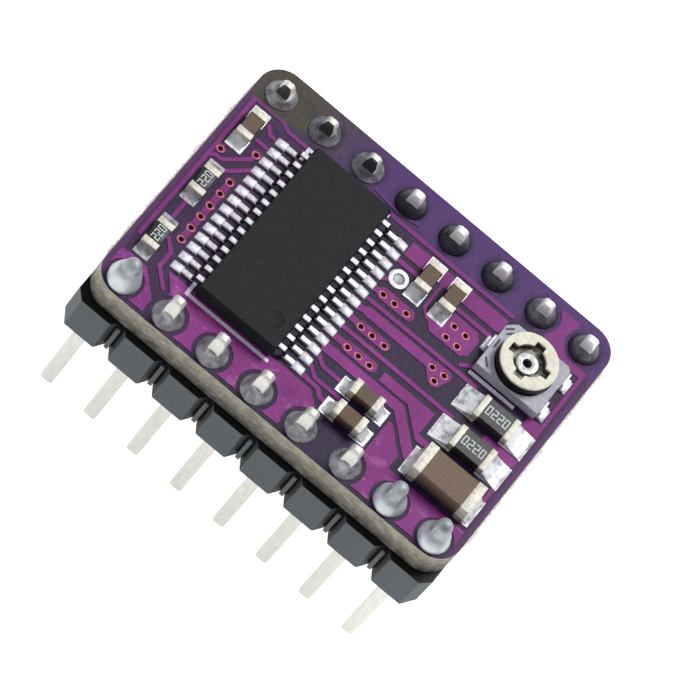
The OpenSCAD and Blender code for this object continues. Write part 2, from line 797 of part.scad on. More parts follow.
module resistor_coats() {
    color([0.07, 0.08, 0.09]) on_board() small_resistors() resistor_layer(small_res, end_cap_l, 1);
}

module resistor_ends() {
    color([0.85, 0.84, 0.82]) on_board() small_resistors() metal_ends(small_res, end_cap_l);
}

module resistor_solder() {
    color([0.7, 0.72, 0.74]) on_board() small_resistors() end_solder(small_res, res_pads, 0.6);
}

// Seven-bar digit, d wide and twice as high: three level bars, then four upright ones
module digit(d, bars) {
    bar_w = d * 0.26;
    step = d * 0.87;
    for (i = [0 : 2])
        if (bars[i]) translate([0, (i - 1) * step]) square([d, bar_w], center = true);
    for (i = [0 : 3])
        if (bars[i + 3])
            translate([(i % 2 - 0.5) * (d - bar_w), (floor(i / 2) - 0.5) * step])
                square([bar_w, d], center = true);
}

// Row of generic digits, printed on a resistor's coat
module value_code(size, digits, d) {
    spacing = d * 1.3;
    translate([0, 0, layer_z(size, 2)]) linear_extrude(print_t)
        for (i = [0 : len(digits) - 1])
            translate([(i - (len(digits) - 1) / 2) * spacing, 0]) digit(d, digits[i]);
}

module resistor_marks() {
    color([0.8, 0.83, 0.84]) on_board() small_resistors() value_code(small_res, [two, two, zero], 0.22);
}

module sense_bodies() {
    color([0.2, 0.19, 0.18]) on_board() sense_places() part_core(sense);
}

module sense_films() {
    color([0.1, 0.1, 0.1]) on_board() sense_places() resistor_layer(sense, sense_end_l, 0);
}

module sense_coats() {
    color([0.12, 0.12, 0.11]) on_board() sense_places() resistor_layer(sense, sense_end_l, 1);
}

module sense_ends() {
    color([0.85, 0.84, 0.82]) on_board() sense_places() metal_ends(sense, sense_end_l);
}

module sense_solder() {
    color([0.8, 0.8, 0.82]) on_board() sense_places() end_solder(sense, sense_pads, 0.75);
}

module sense_marks() {
    color([0.72, 0.72, 0.7]) on_board() sense_places() value_code(sense, [zero, two, two, zero], 0.25);
}

module bulk_cap_body() {
    color([0.47, 0.4, 0.35]) on_board() at(right_x, bulk_y) part_core(bulk);
}

module bulk_cap_ends() {
    color([0.8, 0.78, 0.72]) on_board() at(right_x, bulk_y) metal_ends(bulk, bulk_end_l);
}

module bulk_cap_solder() {
    color([0.7, 0.72, 0.74]) on_board() at(right_x, bulk_y) end_solder(bulk, bulk_pads, 0.4);
}

// Tinned ring beside the middle capacitor, its bore filled lower with solder
module test_ring() {
    rim_t = 0.09;
    fill_t = 0.05;
    bowl_d = 0.54;
    color([0.86, 0.86, 0.88])
    at(ring_x, ring_y, pad_z)
        difference() {
            cylinder(d = ring_d, h = rim_t, $fn = 40);
            translate([0, 0, fill_t]) cylinder(d = bowl_d, h = rim_t, $fn = 32);
        }
}

// ---- Trimmer ----

// Ceramic base with a round well, one cut corner and the rivet's bore
module trimmer_base() {
    corner = 0.42;
    color([0.6, 0.61, 0.66])
    difference() {
        at(trim_x, trim_y, trim_z) linear_extrude(base_h) polygon([
            [-base_l / 2, -base_w / 2], [base_l / 2, -base_w / 2], [base_l / 2, base_w / 2 - corner / 2],
            [base_l / 2 - corner / 2, base_w / 2], [-base_l / 2 + corner, base_w / 2],
            [-base_l / 2, base_w / 2 - corner]]);
        at(trim_x, trim_y, well_z) cylinder(d = well_d, h = base_h, $fn = 64);
        at(trim_x, trim_y, trim_z - cut) cylinder(d = rivet_d, h = base_h, $fn = 32);
    }
}

// Horseshoe of resistive paint on the well's floor
module trimmer_track() {
    track_t = 0.02;
    inner_d = 1.7;
    rim_gap = 0.12;
    mouth = 0.9;
    color([0.05, 0.05, 0.05])
    at(trim_x, trim_y, well_z)
        difference() {
            cylinder(d = well_d - 2 * rim_gap, h = track_t, $fn = 48);
            translate([0, 0, -cut]) cylinder(d = inner_d, h = track_t + 2 * cut, $fn = 40);
            translate([0, -mouth / 2, -cut]) cube([well_d, mouth, track_t + 2 * cut]);
        }
}

// Places of the three terminals, each looking outwards along +X
module terminal_places() {
    at(trim_x, trim_y, 0) {
        for (s = [-1, 1])
            translate([base_l / 2, s * term_gap / 2, 0]) children();
        translate([-base_l / 2, 0, 0]) rotate(180) children();
    }
}

// Metal tab down the base's end face, with a short foot outwards
module trimmer_terminals() {
    foot = 0.18;
    color([0.75, 0.75, 0.76])
    terminal_places() {
        translate([0, -term_w / 2, trim_z]) cube([term_t, term_w, base_h - 0.06]);
        translate([term_t, -term_w / 2, trim_z]) cube([foot, term_w, term_t]);
    }
}

module trimmer_solder() {
    color([0.78, 0.78, 0.8])
        translate([0, 0, pad_z]) linear_extrude(solder_t) trimmer_pads();
}

// Printed turning marks on the base: plain bars
module trimmer_marks() {
    bar_w = 0.1;
    color([0.1, 0.1, 0.11])
    translate([0, 0, base_top]) linear_extrude(print_t) at(trim_x, trim_y, 0) {
        translate([-base_l / 2 + 0.13, -0.25]) square([bar_w, 0.5]);
        for (shift = [0, 0.17])
            translate([-base_l / 2 + 0.24 + shift, 1.02 - shift])
                rotate(45) square([0.44, bar_w], center = true);
        translate([-base_l / 2 + 0.34, -1.12]) rotate(-50) square([0.5, bar_w], center = true);
    }
}

// Hollow rivet: shank through the base and a flange inside the disc
module trimmer_rivet() {
    color([0.78, 0.78, 0.8])
    at(trim_x, trim_y, 0)
        difference() {
            union() {
                translate([0, 0, trim_z]) cylinder(d = rivet_d, h = rivet_top - trim_z, $fn = 32);
                translate([0, 0, rivet_top - flange_t]) cylinder(d = flange_d, h = flange_t, $fn = 40);
            }
            translate([0, 0, trim_z - cut])
                cylinder(d = rivet_hole_d, h = rivet_top - trim_z + 2 * cut, $fn = 32);
        }
}

// Metal plate under the disc: it turns in the well and wipes the track
module trimmer_wiper() {
    arm_w = 0.3;
    arm_reach = 1.15;
    arm_l = 0.25;
    skirt_t = 0.14;
    track_gap = 0.03;
    color([0.62, 0.62, 0.62])
    at(trim_x, trim_y, 0)
        difference() {
            union() {
                translate([0, 0, wiper_z]) cylinder(d = rotor_d - skirt_t, h = wiper_t + turn_gap, $fn = 48);
                translate([-arm_reach, -arm_w / 2, well_z + track_gap])
                    cube([arm_l, arm_w, wiper_z - well_z]);
            }
            translate([0, 0, well_z - cut]) cylinder(d = wiper_hub_d, h = base_h, $fn = 32);
        }
}

// Turning disc: a through cross slot above a thin floor, with an open hub
module trimmer_rotor() {
    color([0.9, 0.88, 0.82])
    at(trim_x, trim_y, rotor_z)
        difference() {
            cylinder(d = rotor_d, h = rotor_t, $fn = 64);
            translate([0, 0, -cut]) cylinder(d = rotor_hub_d, h = rotor_t + 2 * cut, $fn = 40);
            translate([0, 0, rotor_floor_t]) {
                cylinder(d = rotor_bore_d, h = rotor_t, $fn = 48);
                block(2 * slot_reach, slot_w, rotor_t);
                block(slot_w, 2 * slot_reach, rotor_t);
            }
        }
}

laminate();
copper_top();
copper_bottom();
mask_top();
mask_bottom();
via_barrels();
hole_barrels();
silk_top();
strip_front();
strip_rear();
pins_front();
pins_rear();
solder_front();
solder_rear();
chip_body();
chip_die();
chip_paddle();
chip_leads_left();
chip_leads_right();
chip_solder();
cap_bodies();
cap_ends();
cap_solder();
resistor_bodies();
resistor_films();
resistor_coats();
resistor_ends();
resistor_solder();
resistor_marks();
sense_bodies();
sense_films();
sense_coats();
sense_ends();
sense_solder();
sense_marks();
bulk_cap_body();
bulk_cap_ends();
bulk_cap_solder();
test_ring();
trimmer_base();
trimmer_track();
trimmer_terminals();
trimmer_solder();
trimmer_marks();
trimmer_rivet();
trimmer_wiper();
trimmer_rotor();
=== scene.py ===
import math

import bmesh
import bpy
from mathutils import Matrix, Vector, noise


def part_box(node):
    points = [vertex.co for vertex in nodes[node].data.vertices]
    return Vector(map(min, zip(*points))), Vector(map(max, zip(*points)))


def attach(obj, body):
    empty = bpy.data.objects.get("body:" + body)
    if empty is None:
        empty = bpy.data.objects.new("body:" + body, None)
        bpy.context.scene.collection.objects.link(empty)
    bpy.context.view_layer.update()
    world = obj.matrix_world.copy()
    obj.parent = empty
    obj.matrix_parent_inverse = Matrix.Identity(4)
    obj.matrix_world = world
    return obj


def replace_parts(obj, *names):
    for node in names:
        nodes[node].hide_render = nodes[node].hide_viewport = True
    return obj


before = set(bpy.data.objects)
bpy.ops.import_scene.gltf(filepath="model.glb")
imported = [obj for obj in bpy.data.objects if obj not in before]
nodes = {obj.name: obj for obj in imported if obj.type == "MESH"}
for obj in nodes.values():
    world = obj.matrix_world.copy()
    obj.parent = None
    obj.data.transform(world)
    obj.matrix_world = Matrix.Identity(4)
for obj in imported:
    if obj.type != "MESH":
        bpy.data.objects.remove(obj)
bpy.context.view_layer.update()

# ---- Bare board ----
# The board is 1.5 mm of woven glass cloth in resin, with corners milled round. Its cut edge shows
# the cloth in section, a thin rim stays bare, and strands fray out of both ends where the router
# passed.
mm = 0.001
hair = 0.02  # slack in millimetres where a height is compared


def paint(red, green, blue):
    """A colour from its 0 to 255 values as it looks, as linear light."""
    return tuple((c / 255) ** 2.2 for c in (red, green, blue)) + (1.0,)


class Value:
    """One socket of a finish; arithmetic on it adds Math nodes."""

    def __init__(self, finish, socket):
        self.finish, self.socket = finish, socket

    def math(self, operation, second=0.0, third=0.0):
        return self.finish.node("Math", {"operation": operation}, _0=self, _1=second, _2=third)

    def __add__(self, other):
        return self.math("ADD", other)

    def __sub__(self, other):
        return self.math("SUBTRACT", other)

    def __rsub__(self, other):
        return self * -1 + other

    def __mul__(self, other):
        return self.math("MULTIPLY", other)

    def __gt__(self, other):
        return self.math("GREATER_THAN", other)

    def __lt__(self, other):
        return self.math("LESS_THAN", other)

    def __abs__(self):
        return self.math("ABSOLUTE")

    __radd__, __rmul__ = __add__, __mul__


class Finish:
    """A surface finish: a principled shader, and the nodes that vary it. Its place is in millimetres."""

    def __init__(self, name, **constants):
        self.material = bpy.data.materials.new(name)
        self.material.use_nodes = True
        self.tree = self.material.node_tree
        self.surface = self.tree.nodes["Principled BSDF"]
        self.shade(**constants)
        here = self.node("TexCoord", output="Object")
        self.place = self.node("VectorMath", {"operation": "SCALE"}, _0=here, Scale=1 / mm)

    def node(self, kind, settings=None, output=0, **sockets):
        """Adds a node: its settings first, then the values or links of its sockets."""
        made = self.tree.nodes.new("ShaderNode" + kind)
        settings = dict(settings or {})
        for stop, (position, colour) in enumerate(settings.pop("stops", [])):
            stops = made.color_ramp.elements
            held = stops[stop] if stop < len(stops) else stops.new(position)
            held.position, held.color = position, colour
        for name, setting in settings.items():
            setattr(made, name, setting)
        for name, value in sockets.items():
            socket = made.inputs[int(name[1:]) if name[0] == "_" else name.replace("_", " ")]
            self.feed(socket, value)
        return Value(self, made.outputs[output])

    def feed(self, socket, value):
        if isinstance(value, Value):
            self.tree.links.new(value.socket, socket)
        else:
            socket.default_value = value

    def shade(self, **sockets):
        """Sets or links the shader's own sockets."""
        for name, value in sockets.items():
            self.feed(self.surface.inputs[name.replace("_", " ")], value)

    def axis(self, name):
        return self.node("SeparateXYZ", output=name, Vector=self.place)

    def stretched(self, x, y, z):
        return self.node("Mapping", Vector=self.place, Scale=(x, y, z))

    def from_axis(self, middle):
        """Distance in millimetres from the upright line through a point."""
        return self.node("VectorMath", {"operation": "DISTANCE"}, "Value",
                         _0=self.stretched(1, 1, 0), _1=(middle.x, middle.y, 0))

    def speckle(self, per_mm, detail=3.0, rough=0.55, place=None):
        """Cloudy noise from 0 to 1, per_mm blotches to the millimetre."""
        return self.node("TexNoise", Vector=place or self.place, Scale=per_mm, Detail=detail,
                         Roughness=rough)

    def step(self, value, low, high):
        """Goes smoothly from 0 to 1 as the value passes from low to high."""
        return self.node("MapRange", {"interpolation_type": "SMOOTHSTEP"}, Value=value,
                         From_Min=low, From_Max=high)

    def ramp(self, value, *stops):
        return self.node("ValToRGB", {"stops": stops}, _0=value)

    def mix(self, share, first, second):
        return self.node("Mix", {"data_type": "RGBA"}, 2, _0=share, _6=first, _7=second)

    def relief(self, height, depth):
        """Bumps of the given depth in millimetres."""
        self.shade(Normal=self.node("Bump", Strength=1.0, Distance=depth * mm, Height=height))


def dress(finish, *names):
    """Gives a finish to solids that are right as they are."""
    for name in names:
        for held in nodes[name].material_slots:
            held.material = finish.material


def piece(made, name, finish, body, slot, *stands_for):
    """Makes a finished piece of a mesh and lets it ride on its body."""
    crease = 62
    bmesh.ops.recalc_face_normals(made, faces=made.faces)
    for face in made.faces:
        face.smooth = True
    mesh = bpy.data.meshes.new(name)
    made.to_mesh(mesh)
    made.free()
    mesh.set_sharp_from_angle(angle=math.radians(crease))
    mesh.materials.append(finish.material)
    thing = bpy.data.objects.new(name, mesh)
    bpy.context.scene.collection.objects.link(thing)
    thing.modifiers.new("flat_faces", "WEIGHTED_NORMAL").keep_sharp = True
    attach(thing, body)
    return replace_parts(thing, *stands_for)


board_low, board_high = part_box("laminate")
glass_cloth = Finish("glass_cloth", Metallic=0.0, Specular_IOR_Level=0.25)
layers = glass_cloth.speckle(1.0, 4, 0.6, glass_cloth.stretched(1.6, 1.6, 9.0))
blotch = glass_cloth.speckle(2.2, 5, 0.65)
# The cut edge is painted darker towards its bottom: painted shade from the header strip below it.
height = glass_cloth.step(glass_cloth.axis("Z"), board_low.z / mm, board_high.z / mm - 0.1)
cut_edge = glass_cloth.ramp(layers * 0.3 + blotch * 0.45 + height * 0.22,
                            (0.3, paint(58, 57, 54)), (0.5, paint(118, 114, 102)),
                            (0.66, paint(158, 154, 138)))
rim = glass_cloth.ramp(glass_cloth.speckle(5.0, 4), (0.35, paint(168, 158, 138)),
                       (0.6, paint(214, 210, 200)))
near_top = glass_cloth.axis("Z") > board_high.z / mm - hair
glass_cloth.shade(Base_Color=glass_cloth.mix(near_top, cut_edge, rim),
                  Roughness=layers * 0.3 + 0.55)
glass_cloth.relief(layers + blotch, 0.05)
dress(glass_cloth, "laminate")

frayed = Finish("frayed_glass", Metallic=0.0, Specular_IOR_Level=0.2)
strands = frayed.speckle(3.0, 5, 0.7, frayed.stretched(0.6, 4.0, 1.0))
frayed.shade(Base_Color=frayed.ramp(strands, (0.35, paint(196, 193, 188)),
                                    (0.6, paint(240, 238, 234))), Roughness=strands * 0.2 + 0.7)
frayed.relief(strands, 0.02)


def fringe(side):
    """Frayed glass strands along one end of the board, just under the lacquer."""
    strands_t = 0.06 * mm
    rooted = 0.03
    droop = 0.05
    corner = 1.3 * mm
    length = board_high.y - board_low.y - 2 * corner
    made = bmesh.new()
    ribbon = bmesh.ops.create_grid(made, x_segments=3, y_segments=260, size=1)["verts"]
    for v in ribbon:
        out = (v.co.x + 1) / 2
        along = board_low.y + corner + length * (v.co.y + 1) / 2
        slow = 0.12 * noise.noise(Vector((side * 5, along / (0.9 * mm), 0)))
        fine = 0.08 * noise.noise(Vector((side * 9, along / (0.16 * mm), 4)))
        reach = max(0.03, 0.11 + slow + fine) * min(1.0, (1 - abs(v.co.y)) * 12)
        lift = 0.03 * noise.noise(Vector((out * 2, along / (0.3 * mm), 7)))
        v.co = Vector((side * (board_high.x + (out * reach - rooted) * mm), along,
                       board_high.z - (rooted + droop * out - lift) * mm))
    under = bmesh.ops.extrude_face_region(made, geom=list(made.faces))["geom"]
    for v in under:
        if isinstance(v, bmesh.types.BMVert):
            v.co.z -= strands_t
    name = "frayed_edge_" + ("left" if side < 0 else "right")
    return piece(made, name, frayed, "board", "laminate")


for side in (-1, 1):
    fringe(side)

# ---- Copper ----
# Etched copper foil on both faces and plating in every hole. It shows only as the pink rings
# around the small vias and as the dark walls inside them.
bare_copper = Finish("bare_copper", Metallic=0.35)
tarnish = bare_copper.speckle(6.0)
bare_copper.shade(Base_Color=bare_copper.ramp(tarnish, (0.3, paint(152, 72, 92)),
                                              (0.7, paint(198, 116, 120))),
                  Roughness=tarnish * 0.3 + 0.3)
bare_copper.relief(tarnish, 0.01)
dress(bare_copper, "copper_top", "copper_bottom")

# The plating in the holes is painted a darker copper than the foil: painted shade inside the bores.
shaded_hole_plating = Finish("shaded_hole_plating", Metallic=0.3)
grain = shaded_hole_plating.speckle(9.0)
shaded_hole_plating.shade(Base_Color=shaded_hole_plating.ramp(grain, (0.3, paint(96, 30, 62)),
                                                (0.75, paint(140, 58, 84))),
                   Roughness=grain * 0.3 + 0.35)
shaded_hole_plating.relief(grain, 0.01)
dress(shaded_hole_plating, "via_barrels", "hole_barrels")

# ---- Solder mask ----
# A thin coat of purple lacquer over laminate and copper. It looks magenta where copper lies
# under it and dark violet where there is none. A painted reflection of its sheen tints it violet
# along the rear edge, and olive and teal towards the left; painted shadow darkens it around the
# rear joints, and painted glints lighten it in front.
lacquer = Finish("lacquer", Metallic=0.0, Specular_IOR_Level=0.16)
mask_top_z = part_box("mask_top")[1].z / mm
x, y, z = (lacquer.axis(name) for name in "XYZ")
pin_low, pin_high = (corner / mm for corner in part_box("pins_front"))
rear_low, rear_high = (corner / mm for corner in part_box("pins_rear"))
pin_count = 8
pin_w = pin_high.y - pin_low.y
pin_pitch = (pin_high.x - pin_low.x - pin_w) / (pin_count - 1)
first_pin_x = pin_low.x + pin_w / 2
rear_pin_y = rear_low.y + pin_w / 2


def from_pin(finish):
    """Distance in millimetres from the middle of the nearest rear pin."""
    beside = (finish.axis("X") - first_pin_x).math("WRAP", pin_pitch / 2, -pin_pitch / 2)
    behind = finish.axis("Y") - rear_pin_y
    return (beside * beside + behind * behind).math("SQRT")


over_copper = z > mask_top_z - hair
cloud = lacquer.speckle(0.5, 3)
fine = lacquer.speckle(7.0, 4, 0.7)
bright = lacquer.ramp(cloud * 0.6 + fine * 0.4, (0.3, paint(112, 34, 108)),
                      (0.55, paint(134, 50, 128)), (0.75, paint(150, 68, 142)))
dim = lacquer.ramp(cloud * 0.5 + fine * 0.5, (0.3, paint(44, 26, 54)),
                   (0.5, paint(58, 36, 70)), (0.72, paint(78, 52, 92)))
dark_middle = lacquer.step(x, -6.5, -2.0) * (1 - lacquer.step(x, 6.0, 9.4))
dim = lacquer.mix(dark_middle * 0.75, dim, lacquer.ramp(fine, (0.3, paint(34, 28, 48)),
                                                        (0.7, paint(52, 42, 68))))
edge = lacquer.step(abs(x), board_high.x / mm - 0.5, board_high.x / mm - 0.1)
dim = lacquer.mix(edge * 0.5, dim, paint(108, 62, 116))
# Along the rear edge the lacquer is painted violet, and olive, teal and violet towards the left: a
# painted reflection of its sheen.
rear = lacquer.step(y + cloud * 1.2, 5.3, 6.3)
sheen_left = rear * (1 - lacquer.step(x + cloud * 3.0, -6.2, -1.5))
sheen_tints = lacquer.ramp(lacquer.speckle(0.9, 3), (0.35, paint(58, 62, 60)),
                    (0.55, paint(80, 76, 48)), (0.7, paint(54, 44, 74)))
rear_sheen = lacquer.mix(sheen_left, paint(84, 50, 114), sheen_tints)
faint_sheen_corner = lacquer.step(x, 5.5, 7.0)
dim = lacquer.mix(rear * 0.8, dim, rear_sheen)
bright = lacquer.mix(rear * (0.75 - faint_sheen_corner * 0.55), bright, rear_sheen)
# Dark violet round the rear joints is a painted shadow of the joints on the lacquer.
shadow_round_joints = (1 - lacquer.step(from_pin(lacquer) + cloud * 0.5, 0.95, 1.4)) * (x > -6)
shadow_violet = paint(34, 24, 44)
dim = lacquer.mix(shadow_round_joints * 0.7, dim, shadow_violet)
bright = lacquer.mix(shadow_round_joints * 0.45, bright, shadow_violet)
# Light pink patches on the front part of the lacquer are painted glints.
painted_glints = lacquer.step(lacquer.speckle(1.1, 3, 0.6, lacquer.stretched(1, 1.6, 1)), 0.55, 0.68)
painted_glints *= 1 - lacquer.step(y, -4.9, -3.6)
bright = lacquer.mix(painted_glints * 0.35, bright, paint(186, 112, 180))
lacquer.shade(Base_Color=lacquer.mix(over_copper, dim, bright), Roughness=fine * 0.25 + 0.33)
lacquer.relief(lacquer.speckle(3.0, 4), 0.02)
dress(lacquer, "mask_top", "mask_bottom")

# ---- Printed outlines ----
# Pale lavender ink, screened on the mask: a broken frame around the chip and a bar in front of
# the trimmer. It is thin, slightly patchy and matt.
ink = Finish("outline_ink", Metallic=0.0, Roughness=0.6)
patchy = ink.speckle(8.0, 4)
ink.shade(Base_Color=ink.ramp(patchy, (0.3, paint(196, 186, 214)), (0.55, paint(228, 222, 240))))
ink.relief(patchy, 0.01)
dress(ink, "silk_top")


# ---- Header strips ----
# Two moulded strips of eight segments with bevelled corners, broken off a longer strip. The
# plastic is matt and faintly pitted; thin break webs are left in the grooves. Its outer faces are
# slate grey, a painted sheen on black plastic, and its groove walls and top face are painted near
# black as painted shade.
def shape_of(name):
    """A solid's own shape with its faces joined up again."""
    made = bmesh.new()
    made.from_mesh(nodes[name].data)
    bmesh.ops.remove_doubles(made, verts=made.verts, dist=0.0002 * mm)
    bmesh.ops.dissolve_limit(made, angle_limit=math.radians(1), verts=made.verts,
                             edges=made.edges)
    return made


def round_off(made, radius, rounds):
    """Rounds every edge whose faces turn by more than the bend."""
    bend = 35
    sharp = [e for e in made.edges
             if e.is_manifold and e.calc_face_angle() > math.radians(bend)]
    bmesh.ops.bevel(made, geom=sharp, offset=radius * mm, offset_type="OFFSET",
                    segments=rounds, profile=0.5, affect="EDGES", material=-1,
                    clamp_overlap=True)


def softened(node, name, finish, slot, radius, rounds=2, body="board"):
    """A piece with the shape of a CAD solid and rounded edges."""
    made = shape_of(node)
    round_off(made, radius, rounds)
    return piece(made, name, finish, body, slot, node)


header_plastic = Finish("header_plastic", Metallic=0.0, Specular_IOR_Level=0.35)
pits = header_plastic.speckle(9.0, 5, 0.7)
slate = header_plastic.ramp(pits, (0.3, paint(54, 61, 66)), (0.7, paint(74, 82, 88)))
strip_low, strip_high = (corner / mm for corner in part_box("strip_front"))
half_width = (strip_high.y - strip_low.y) / 2
rear_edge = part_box("strip_rear")[1].y / mm
row_middle = (strip_low.y + rear_edge) / 2
row_reach = rear_edge - row_middle - half_width
x, y, z = (header_plastic.axis(name) for name in "XYZ")
depth = abs(abs(y - row_middle) - row_reach)
skin_depth, web_depth = 0.03, 0.2
web_half, end_bevel = 0.12, 0.48
outer_face = depth > half_width - skin_depth
web = (x - strip_low.x).math("PINGPONG", pin_pitch / 2) < web_half
web_face = web * (depth > half_width - web_depth)
strip_end = abs(x) > strip_high.x - end_bevel
lit_faces = outer_face.math("MAXIMUM", strip_end).math("MAXIMUM", web_face)
top_face = z > strip_high.z - hair
# Groove walls and the top face are painted near black as painted shade; the slate grey of the outer
# faces is a painted sheen on black plastic.
shade = header_plastic.mix(lit_faces * (1 - top_face), paint(9, 10, 13), slate)
header_plastic.shade(Base_Color=shade, Roughness=pits * 0.25 + 0.42)
header_plastic.relief(pits, 0.012)
for row in ("front", "rear"):
    softened("strip_" + row, "header_strip_" + row, header_plastic, "header_plastic", 0.05)

# ---- Pins ----
# Sixteen square pins of tinned brass wire, pressed through the strips, with four-sided tapers at
# both ends. The tin is creamy white and drawn lengthwise, and greyed where solder wetted it. The
# fronts of the first rear pins are painted near black as painted shade, and the other rear pins
# are painted white above the board as a painted highlight.
tinned_wire = Finish("tinned_wire", Metallic=0.3)
drawn = tinned_wire.speckle(1.0, 4, 0.6, tinned_wire.stretched(6.0, 6.0, 1.5))
creamy = tinned_wire.ramp(drawn, (0.3, paint(208, 208, 200)), (0.7, paint(224, 225, 218)))
x, y, z = (tinned_wire.axis(name) for name in "XYZ")
above = z > board_high.z / mm
pin_taper, lean = 0.35, 0.4
shaded_fronts_end_x = -2.5
in_rear = above * (y > row_middle)
front_of_rear = y - (z - rear_high.z + pin_taper).math("MAXIMUM") * lean < rear_low.y + 0.05
# The fronts of the first rear pins are painted near black: painted shade.
shaded_fronts = front_of_rear * in_rear * (x < shaded_fronts_end_x)
# The rear pins right of those are painted white above the board: a painted highlight.
highlit_tips = in_rear * (x > shaded_fronts_end_x)
outermost = (x < pin_low.x + 1).math("MAXIMUM", x > pin_high.x - pin_pitch - 1)
wetted = outermost * above * (y < row_middle)
tin = tinned_wire.mix(wetted, tinned_wire.mix(highlit_tips, creamy, paint(250, 250, 250)),
                      paint(160, 166, 170))
tinned_wire.shade(Base_Color=tinned_wire.mix(shaded_fronts * 0.92, tin, paint(22, 20, 24)),
                  Roughness=drawn * 0.2 + 0.36)
tinned_wire.relief(drawn, 0.004)
for row in ("front", "rear"):
    softened("pins_" + row, "header_pins_" + row, tinned_wire, "pin_metal", 0.05)

# ---- Soldered pin joints ----
# Each pin is hand soldered from above. Three joints at the front row's ends are full bright domes
# that climb their pins, and the others there are grey cones. In the rear row the first is grey,
# two are low and dull, and the rest are dark domes that leave only the pin's tip bare; their
# front sides are painted darker as painted shade, and their rims dark violet as painted shadow.
pad_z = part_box("copper_top")[1].z
joint_pad_r = 0.79


def joint(made, row_y, place, cone_h, belly, steep=2.6, dome=1.0):
    """Solder around one pin: spun from its outline, then made uneven.

    belly is the dome's share of the outline and dome how much of the height it takes.
    """
    centre = Vector(((first_pin_x + place * pin_pitch) * mm, row_y, pad_z))
    neck = pin_w * 0.58
    plug_r, plug_h = 0.5, 1.4
    lip, foot_h = 0.02, 0.05
    rings = 18
    outline = [(0, -plug_h), (plug_r, -plug_h), (plug_r, -lip), (joint_pad_r - lip, -lip),
               (joint_pad_r, lip)]
    for ring in range(1, rings + 1):
        t = ring / rings
        swell = belly * math.sqrt(1 - min(1, t / dome) ** 2) + (1 - belly) * (1 - t) ** steep
        blunt = math.sqrt(1 - max(0, (t - 0.8) / 0.22) ** 2)
        outline.append((neck * blunt + (joint_pad_r - neck) * swell, foot_h + cone_h * t))
    outline.append((0, foot_h + cone_h))
    points = [made.verts.new(centre + Vector((r, 0, h)) * mm) for r, h in outline]
    line = [made.edges.new(pair) for pair in zip(points, points[1:])]
    bmesh.ops.spin(made, geom=points + line, cent=centre, axis=(0, 0, 1), dvec=(0, 0, 0),
                   angle=2 * math.pi, steps=36, use_merge=True)
    uneven, wave_l = 0.07, 0.5 * mm
    for v in made.verts:
        out = (v.co - centre) * Vector((1, 1, 0))
        if out.length < pin_pitch / 2 * mm:
            height = max(0.0, (v.co.z - centre.z) / mm)
            wave = noise.noise(v.co / wave_l + centre * 900)
            v.co += out * wave * uneven * min(1, height * 6)


def soldered_row(row, slot, finish, name, shapes):
    """The joints of one row that share a finish; shapes gives the outline at each pin's place."""
    low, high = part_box("pins_" + row)
    made = bmesh.new()
    for place, shape in shapes.items():
        joint(made, (low.y + high.y) / 2, place, *shape)
    bmesh.ops.remove_doubles(made, verts=made.verts, dist=0.0005 * mm)
    return piece(made, name, finish, "board", slot, "solder_" + row)


bright_solder = Finish("bright_solder", Metallic=0.45)
melt = bright_solder.speckle(1.9, 4)
bright_solder.shade(Base_Color=bright_solder.ramp(melt, (0.32, paint(150, 153, 158)),
                                                  (0.54, paint(232, 233, 238))),
                    Roughness=melt * 0.3 + 0.34)
bright_solder.relief(melt, 0.05)
satin_solder = Finish("satin_solder", Metallic=0.4)
melt = satin_solder.speckle(1.4, 4)
away = (satin_solder.axis("X") - first_pin_x).math("WRAP", pin_pitch / 2, -pin_pitch / 2)
away = abs(away).math("MAXIMUM", abs(satin_solder.axis("Y") - pin_low.y - pin_w / 2))
grey_core = satin_solder.ramp(melt, (0.32, paint(134, 142, 145)), (0.62, paint(172, 178, 182)))
satin_solder.shade(Base_Color=satin_solder.mix(satin_solder.step(away, 0.35, 0.68), grey_core,
                                               paint(200, 208, 212)), Roughness=melt * 0.25 + 0.4)
satin_solder.relief(melt, 0.05)
grey_solder = Finish("grey_solder", Metallic=0.55)
melt = grey_solder.speckle(3.0, 4, 0.6)
grey_solder.shade(Base_Color=grey_solder.ramp(melt, (0.3, paint(112, 110, 116)),
                                              (0.62, paint(172, 172, 178))),
                  Roughness=melt * 0.3 + 0.38)
grey_solder.relief(melt, 0.06)
dull_solder = Finish("dull_solder", Metallic=0.5)
melt = dull_solder.speckle(3.2, 4, 0.65)
x, y = (dull_solder.axis(name) for name in "XY")
right_of_shaded_fronts = x > shaded_fronts_end_x
# The later rear domes are painted near black on their front sides: painted shade.
front_shade_share = right_of_shaded_fronts * (1 - dull_solder.step(x, 2.5, 6.5) * 0.75)
front_side = dull_solder.step(rear_pin_y - y, -0.35, 0.45) * 0.55 + 0.25
# Their outer rim is painted dark violet: painted shadow on the mask round each joint.
outer_ring = dull_solder.step(from_pin(dull_solder), 0.58, 0.72) * right_of_shaded_fronts * 0.85
grey = dull_solder.ramp(melt, (0.3, paint(84, 84, 92)), (0.65, paint(142, 142, 152)))
cone = dull_solder.mix(front_shade_share * front_side, grey, paint(16, 14, 20))
dull_solder.shade(Base_Color=dull_solder.mix(outer_ring, cone, paint(44, 34, 56)),
                  Roughness=melt * 0.3 + 0.42)
dull_solder.relief(melt, 0.07)
round_dome = (1.7, 0.7, 1.5, 0.42)
soldered_row("front", "solder", satin_solder, "full_joints_front",
             {0: (1.7, 0.55, 1.4, 0.62), 6: round_dome, 7: round_dome})
soldered_row("front", "solder", grey_solder, "grey_joints_front",
             {1: (0.75, 0.12), 2: (0.7, 0.2), 3: (0.75, 0.15), 4: (0.7, 0.18), 5: (0.8, 0.14)})
low_joint = (0.36, 0.42)
bare_tip = 0.62
dark_dome = (rear_high.z - pad_z / mm - bare_tip, 0.4, 1.8)
